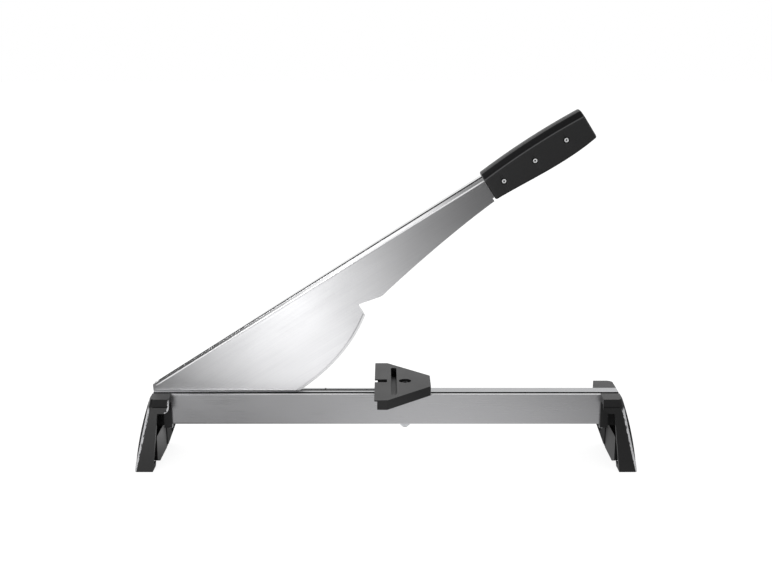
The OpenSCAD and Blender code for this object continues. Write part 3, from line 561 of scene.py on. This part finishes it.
# The feet get painted highlights: light grey on the front outer rounding and on the left foot's inner end
footPlastic = mouldedPlastic("moulded nylon, feet", 0x0F0F10, 0x141415, roughness=0.40, grain=0.5,
                             highlight=footHighlights, burnish=outerSide)
# The handle gets a painted highlight along its upper side edge
handlePlastic = mouldedPlastic("moulded nylon, handle", 0x161617, 0x1B1B1C, roughness=0.37, grain=0.4,
                               highlight=handleHighlight, highlightTint=0x9A9A9C)
fencePlastic = mouldedPlastic("moulded nylon, fence", 0x141415, 0x18181A, roughness=0.42, grain=0.45)
# The bed gets painted shade in its slit and along the slot, and a saw mark
bedMetal = brushedMetal("anodised aluminium, bed", 0xC0C1C3, 0xB2B3B5, roughness=0.28, line=0.35, length=60.0,
                        turn=0.0, anisotropy=0.6, lineHeight=0.004, shadeAndMarks=bedShadeAndSaw)
# The front rail gets painted shade in its slit and a painted highlight on top
railMetal = brushedMetal("anodised aluminium, front rail", 0xC4C4C6, 0xBFBFC1, roughness=0.30, line=0.30,
                         length=70.0, turn=0.0, anisotropy=0.4, lineHeight=0.002,
                         shadeAndMarks=railShade, bright=railTopHighlight)
# The blade's bevel and edges get a painted highlight
bladeMetal = brushedMetal("ground stainless steel", 0xCFCFD0, 0xC6C6C8, roughness=0.36, line=0.30,
                          length=60.0, turn=armTurn, anisotropy=0.98, lineHeight=0.004, bright=bevelHighlight)
# The spine's lip gets a painted highlight
spineMetal = brushedMetal("polished stainless steel", 0xDADADB, 0xD8D8D9, roughness=0.14, line=2.0,
                          length=300.0, turn=armTurn, anisotropy=0.3, lineHeight=0.0, bright=lipHighlight)
zinc = platedSteel("zinc plated steel", 0xE2E4E6, 0xC4C6CA)
# The small heads are white and only partly metallic, a painted highlight that keeps them light from every
# side, with painted shade at the drive and the rim
brightZinc = platedSteel("zinc plated steel, small heads", 0xFFFFFF, 0xE0E2E4, 0.6, headShade)
blackened = blackSteel()
nylon = naturalNylon()
bronze = sinteredBronze()
print("materials made")

# Finish of the CAD nodes: doubles merged, flat faces joined, edges rounded, normals by face area. The
# widths of the roundings are given node by node; angles are degrees.
rounding = {"merge": 0.005, "flat": 0.6, "sharp": 28.0, "segments": 3, "areaWeight": 80}
edges = {
    "left_foot": 0.7, "right_foot": 0.7, "fence": 0.35, "front_rail": 0.15, "bed_rail": 0.2, "blade": 0.08,
    "pivot_bolt": 0.3, "pivot_nut": 0.25, "pivot_washers": 0.12, "cross_bolt": 0.3, "cross_nut": 0.25,
    "cross_washers": 0.12, "cross_sleeve": 0.2, "fence_screw": 0.3, "fence_nut": 0.25, "fence_plate": 0.15,
    "handle_screws": 0.12, "handle_nuts": 0.15, "front_rail_screws": 0.15, "pivot_spacers": 0.2,
    "pivot_bush": 0.1,
}
finishes = {
    "left_foot": footPlastic, "right_foot": footPlastic, "fence": fencePlastic, "bed_rail": bedMetal,
    "front_rail": railMetal, "blade": bladeMetal, "fence_screw": blackened, "pivot_spacers": nylon,
    "pivot_bush": bronze, "handle_screws": brightZinc, "spine": spineMetal, "handle_front": handlePlastic,
    "handle_rear": handlePlastic,
}


def addRounding(piece, width):
    joined = piece.modifiers.new("joined", "WELD")
    joined.merge_threshold = rounding["merge"] * mm
    flats = piece.modifiers.new("flats", "DECIMATE")
    flats.decimate_type = "DISSOLVE"
    flats.angle_limit = radians(rounding["flat"])
    rounded = piece.modifiers.new("edges", "BEVEL")
    rounded.width = width * mm
    rounded.segments = rounding["segments"]
    rounded.limit_method = "ANGLE"
    rounded.angle_limit = radians(rounding["sharp"])
    rounded.miter_outer = "MITER_ARC"


def addNormals(piece):
    normals = piece.modifiers.new("normals", "WEIGHTED_NORMAL")
    normals.weight = rounding["areaWeight"]
    normals.keep_sharp = False


for name, node in nodes.items():
    node.data.materials.clear()
    node.data.materials.append(finishes.get(name, zinc))
    node.data.polygons.foreach_set("use_smooth", np.ones(len(node.data.polygons), bool))
    if name in edges:
        addRounding(node, edges[name])
        addNormals(node)
for piece, finish in ((spinePiece, spineMetal), *((shell, handlePlastic) for shell in handleShells)):
    piece.data.materials.append(finish)
    addNormals(piece)
print("pieces finished")

# Studio. The camera sees plain white, and matt surfaces are lit by an even pale light. The metal mirrors a
# room: a white sweep behind; to the front a dark wall on the left and a half bright one on the right, with
# a bright belt above the horizon; over all a dark ceiling. Ranges are of a ray's direction, from -1 to 1.
room = {
    "matt": 0.75, "sweep": 1.0, "left": 0.1, "right": 0.5, "belt": 1.2, "ceiling": 0.06,
    "toBack": (-0.12, 0.12), "toRight": (-0.06, 0.1), "beltRise": (0.12, 0.18), "beltFall": (0.3, 0.4),
    "frontTop": (0.35, 0.55), "backTop": (0.7, 0.88),
}
# The floor is white too. Mirrored, it glows by zones: bright behind the part, less so to the right; near the
# part light in the middle and dim at the ends; in front of that dark, but for a bright patch on the
# left and a light stretch far off.
floorGlow = {
    "size": 14000.0, "seen": 0.86, "seenColour": 0.3, "colour": 0.75,
    "behind": 1.5, "behindRight": 0.35, "toBehind": (-50.0, 200.0), "toBehindRight": (0.0, 200.0),
    "nearEnds": 0.16, "nearMiddle": 0.78, "toNear": (-420.0, -280.0), "nearRise": (-250.0, 60.0),
    "nearFall": (60.0, 450.0), "front": 0.05, "far": 0.7, "toFar": (-2600.0, -2100.0), "patch": 1.8,
    "patchX": ((-450.0, -200.0), (50.0, 300.0)), "patchY": ((-1950.0, -1350.0), (-1100.0, -300.0)),
}
# Softboxes and the camera; places and sizes in metres, powers in watts, the camera's tilt in degrees
lamps = {
    "key": {"place": (-0.5, -1.165, 0.278), "target": (-0.09, 0, 0.15), "size": (0.36, 0.5), "power": 4.05},
    "fill": {"place": (1.2, -0.5, 0.9), "target": (0.05, 0, 0.1), "size": (0.5, 0.8), "power": 1.2},
}
cameraAt = {"place": (0.0, -1.150, 0.458), "down": 13.43, "lens": 53.6, "sensor": 36.0}


def makeWorld():
    world = bpy.data.worlds.new("studio")
    bpy.context.scene.world = world
    world.use_nodes = True
    world.cycles.sampling_method = "NONE"
    tree = world.node_tree
    x, y, z = addNode(tree, "SeparateXYZ", (addNode(tree, "TexCoord").outputs["Generated"],)).outputs
    rays = addNode(tree, "LightPath").outputs
    right = between(tree, x, room["toRight"])
    belt = allOf(tree, between(tree, z, room["beltRise"], room["beltFall"]), right)
    front = addNode(tree, "Mix", (right, room["left"], room["right"]))
    front = addNode(tree, "Mix", (belt, front, room["belt"]))
    front = addNode(tree, "Mix", (between(tree, z, room["frontTop"]), front, room["ceiling"]))
    back = addNode(tree, "Mix", (between(tree, z, room["backTop"]), room["sweep"], room["ceiling"]))
    mirrored = addNode(tree, "Mix", (between(tree, y, room["toBack"]), front, back))
    seen = anyOf(tree, rays["Is Glossy Ray"], rays["Is Transmission Ray"])
    strength = addNode(tree, "Mix", (seen, room["matt"], mirrored))
    strength = addNode(tree, "Mix", (rays["Is Camera Ray"], strength, 1.0))
    fill(tree, tree.nodes["Background"], {"Color": 0xFFFFFF, "Strength": strength})


def floorMaterial():
    material = bpy.data.materials.new("white studio floor")
    material.use_nodes = True
    material.cycles.emission_sampling = "NONE"
    tree = material.node_tree
    tree.nodes.clear()
    x, y, z = placeOn(tree)
    rays = addNode(tree, "LightPath").outputs
    camera = rays["Is Camera Ray"]
    seen = anyOf(tree, rays["Is Glossy Ray"], rays["Is Transmission Ray"])
    patch = allOf(tree, between(tree, x, *floorGlow["patchX"]), between(tree, y, *floorGlow["patchY"]))
    front = addNode(tree, "Mix", (patch, floorGlow["front"], floorGlow["patch"]))
    front = addNode(tree, "Mix", (between(tree, y, fall=floorGlow["toFar"]), front, floorGlow["far"]))
    middle = between(tree, x, floorGlow["nearRise"], floorGlow["nearFall"])
    near = addNode(tree, "Mix", (middle, floorGlow["nearEnds"], floorGlow["nearMiddle"]))
    front = addNode(tree, "Mix", (between(tree, y, floorGlow["toNear"]), front, near))
    behind = addNode(tree, "Mix", (between(tree, x, floorGlow["toBehindRight"]), floorGlow["behind"],
                                   floorGlow["behindRight"]))
    mirrored = addNode(tree, "Mix", (between(tree, y, floorGlow["toBehind"]), front, behind))
    glow = addNode(tree, "Mix", (camera, allOf(tree, seen, mirrored), floorGlow["seen"]))
    # the colour is dim to the camera, none to mirrors, and pale to the light that bounces off it
    dim = allOf(tree, camera, floorGlow["seenColour"])
    colour = addNode(tree, "Mix", (anyOf(tree, camera, seen), floorGlow["colour"], dim))
    matt = addNode(tree, "BsdfDiffuse", {"Color": colour})
    light = addNode(tree, "Emission", {"Strength": glow})
    addNode(tree, "OutputMaterial", {"Surface": addNode(tree, "AddShader", (matt, light))})
    return material


def makeFloor():
    half = floorGlow["size"] * mm / 2
    mesh = bpy.data.meshes.new("floor")
    corners = [(-half, -half, 0), (half, -half, 0), (half, half, 0), (-half, half, 0)]
    mesh.from_pydata(corners, [], [(0, 1, 2, 3)])
    mesh.materials.append(floorMaterial())
    floor = bpy.data.objects.new("floor", mesh)
    bpy.context.scene.collection.objects.link(floor)


# A softbox: a rectangular lamp at a place, turned to a point
def softbox(name, place, target, size, power):
    lamp = bpy.data.lights.new(name, "AREA")
    lamp.shape = "RECTANGLE"
    lamp.size, lamp.size_y = size
    lamp.energy = power
    holder = bpy.data.objects.new(name, lamp)
    bpy.context.scene.collection.objects.link(holder)
    holder.location = place
    holder.rotation_euler = (Vector(target) - Vector(place)).to_track_quat("-Z", "Y").to_euler()


def makeCamera():
    camera = bpy.data.cameras.new("camera")
    camera.lens = cameraAt["lens"]
    camera.sensor_width = cameraAt["sensor"]
    view = bpy.data.objects.new("camera", camera)
    bpy.context.scene.collection.objects.link(view)
    view.location = cameraAt["place"]
    view.rotation_euler = (radians(90 - cameraAt["down"]), 0, 0)
    bpy.context.scene.camera = view


makeWorld()
makeFloor()
for name, lamp in lamps.items():
    softbox(name, **lamp)
makeCamera()
bpy.context.scene.view_settings.view_transform = "Standard"
print("studio made")
